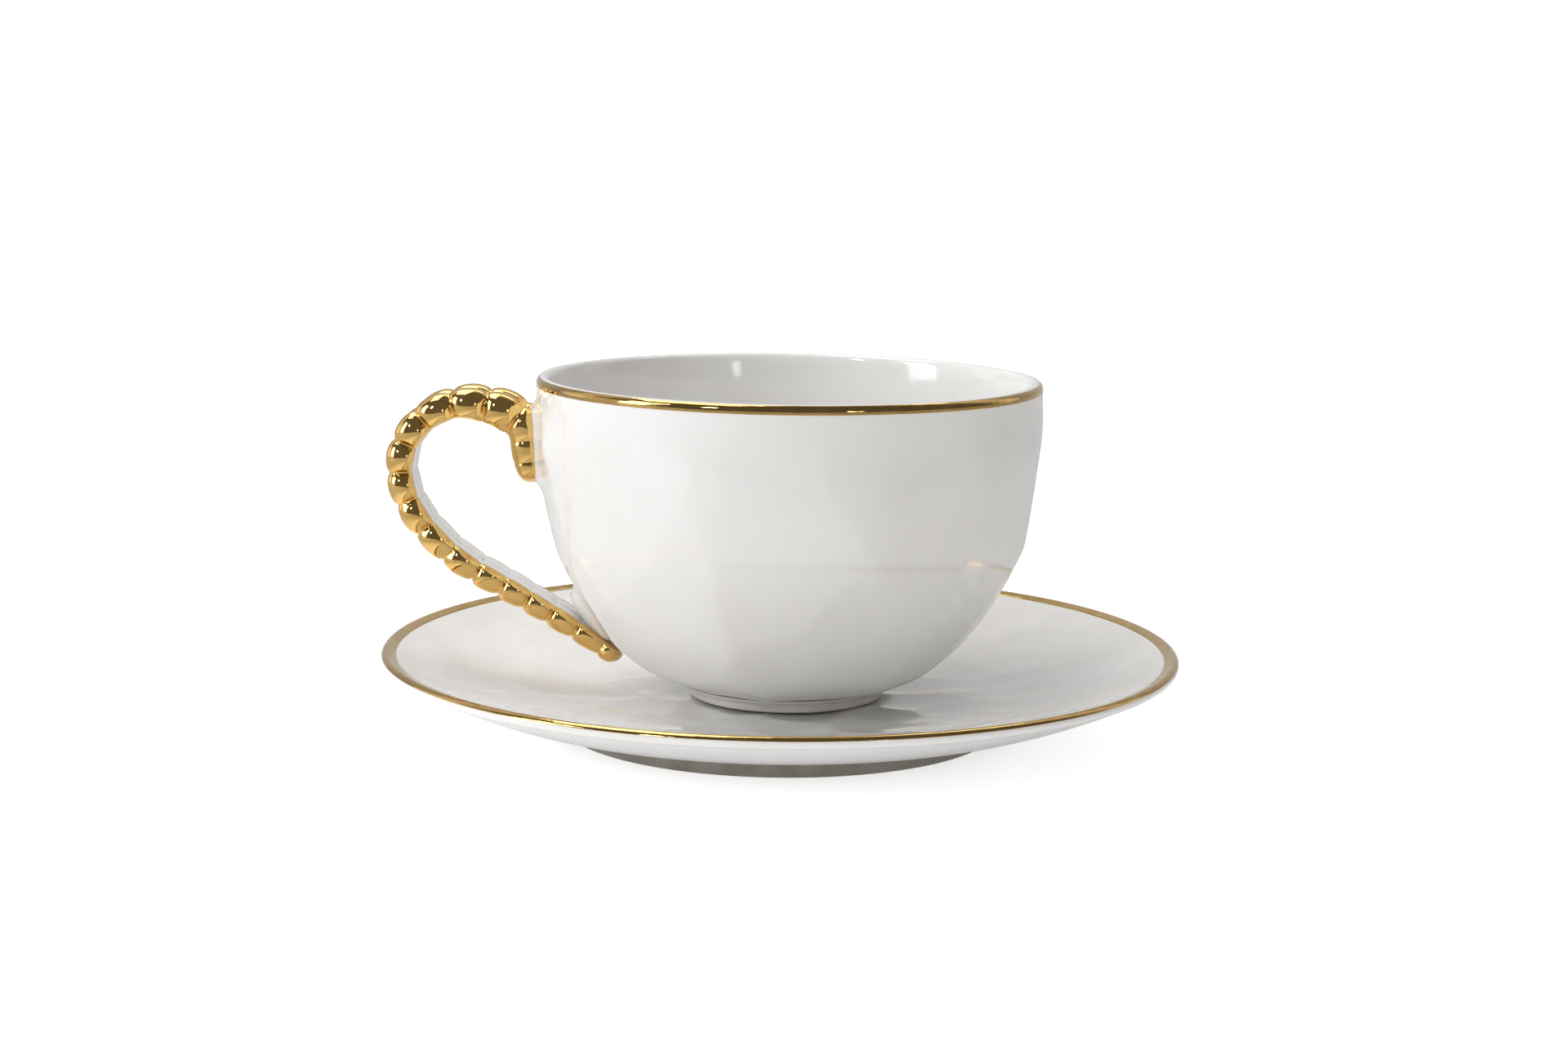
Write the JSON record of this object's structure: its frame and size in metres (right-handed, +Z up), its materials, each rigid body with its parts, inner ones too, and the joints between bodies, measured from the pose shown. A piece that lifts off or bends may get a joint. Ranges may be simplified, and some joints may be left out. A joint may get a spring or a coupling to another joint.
{
  "type": "teacup",
  "caption": "Porcelain teacup with a beaded gilded ear handle and a gilded rim, standing on its shallow matching saucer.",
  "frame": {"origin": "centre of the saucer's foot ring, on the table it stands on", "axes": "+Z up, the cup's handle points along -X, +Y is away from the viewer who sees the handle on the left"},
  "size_m": [0.15, 0.15, 0.0666],
  "materials": {
    "porcelain": "glossy white glaze",
    "bare_foot": "unglazed, fine sanded",
    "gold": "bright fired gold"
  },
  "bodies": {
    "saucer": {"saucer_plate": "porcelain", "saucer_foot_ring": "bare_foot", "saucer_rim_gilding": "gold"},
    "cup": {"cup_bowl": "porcelain", "cup_foot_ring": "bare_foot", "cup_rim_gilding": "gold", "handle_core": "porcelain", "handle_gilding": "gold", "upper_luting_pad": "porcelain", "lower_luting_pad": "porcelain"}
  },
  "joints": [
    {"name": "cup_lift", "type": "slide", "parent": "saucer", "child": "cup", "axis": [0, 0, 1], "range_m": [0, 0.12]}
  ]
}
